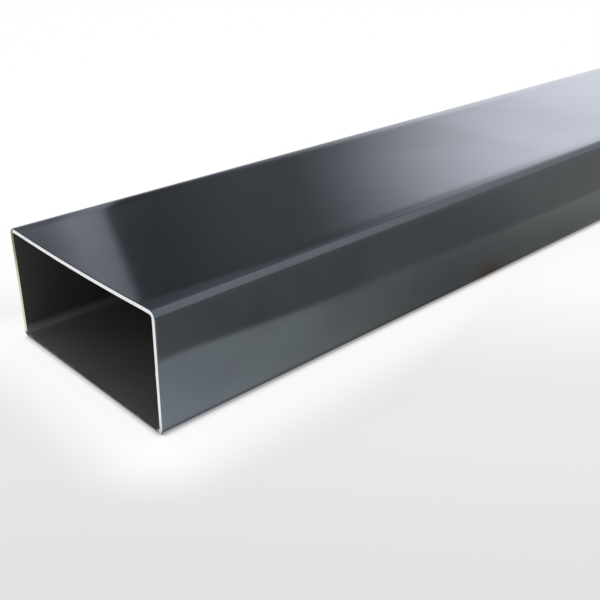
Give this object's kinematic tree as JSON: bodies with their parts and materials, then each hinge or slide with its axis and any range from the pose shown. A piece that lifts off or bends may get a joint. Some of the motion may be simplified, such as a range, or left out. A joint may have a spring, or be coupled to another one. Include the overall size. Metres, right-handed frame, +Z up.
{
  "type": "rectangular box section",
  "caption": "Straight length of thin-walled rectangular stainless steel box section with rolled corners, square-cut deburred ends and a weld seam down the inside of a narrow wall.",
  "frame": {"origin": "on the underside, under the middle of the length and of the width", "axes": "+X along the length, +Y across the width, away from the wall that holds the weld seam, +Z up from the wide face that it lies on"},
  "size_m": [1, 0.1, 0.05],
  "materials": {
    "stainless_steel": "satin, as formed from cold-rolled strip, with bright deburred cut ends"
  },
  "bodies": {
    "root": {"box_section": "stainless_steel"}
  },
  "joints": []
}
